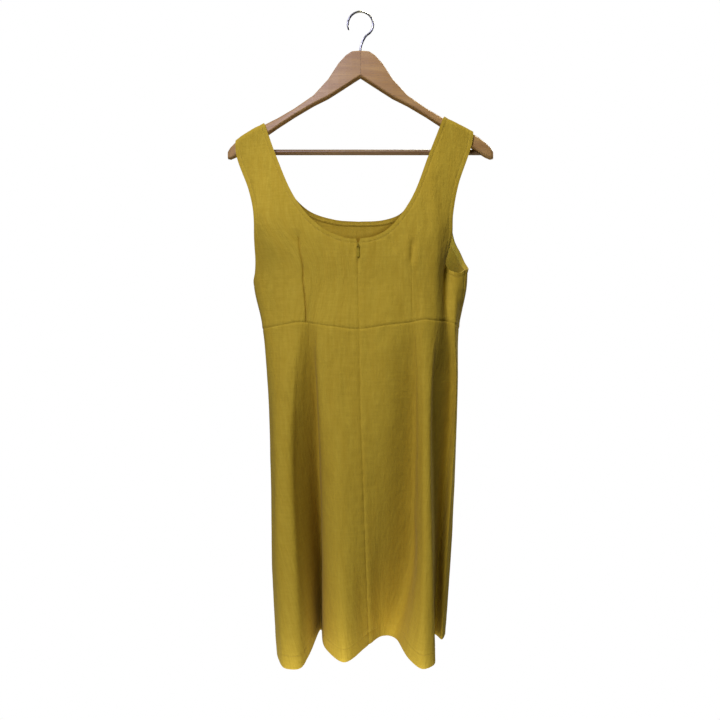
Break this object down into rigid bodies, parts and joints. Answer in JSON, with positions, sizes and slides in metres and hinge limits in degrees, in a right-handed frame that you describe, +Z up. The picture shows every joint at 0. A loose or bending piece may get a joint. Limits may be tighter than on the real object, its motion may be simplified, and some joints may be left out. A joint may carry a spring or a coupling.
{
  "type": "pinafore dress on a wooden hanger",
  "caption": "Sleeveless A-line pinafore dress with wide straps and a back zip, hanging on a wooden hanger with a trouser bar.",
  "frame": {"origin": "inside top of the hanger's hook, where a rail holds it", "axes": "+Z up, +X across the shoulders, +Y out of the garment's front, so the back with its zip faces -Y"},
  "size_m": [0.445, 0.2346, 1.038],
  "materials": {
    "linen": "plain woven linen, matt, mustard yellow",
    "binding": "the same linen, turned in and stitched",
    "tape": "woven zip tape",
    "wood": "pale beech, clear satin varnish",
    "wire": "bright plated steel wire",
    "enamel": "yellow enamel on a zip's slider and pull"
  },
  "bodies": {
    "dress": {"back_bodice_left": "linen", "back_bodice_right": "linen", "front_bodice": "linen", "back_skirt_left": "linen", "back_skirt_right": "linen", "front_skirt": "linen", "neck_binding_front": "binding", "neck_binding_back_left": "binding", "neck_binding_back_right": "binding", "armhole_binding_left": "binding", "armhole_binding_right": "binding", "zip_tape_left": "tape", "zip_tape_right": "tape", "zip_slider": "enamel", "hanger_arm_left": "wood", "hanger_arm_right": "wood", "hanger_bar": "wood", "hanger_hook": "wire"},
    "pull": {"zip_pull": "enamel"}
  },
  "joints": [
    {"name": "zip_pull_turn", "type": "hinge", "parent": "dress", "child": "pull", "pos_m": [-0.004, -0.0477, -0.388], "axis": [-1, 0, 0], "range_deg": [0, 165]}
  ]
}
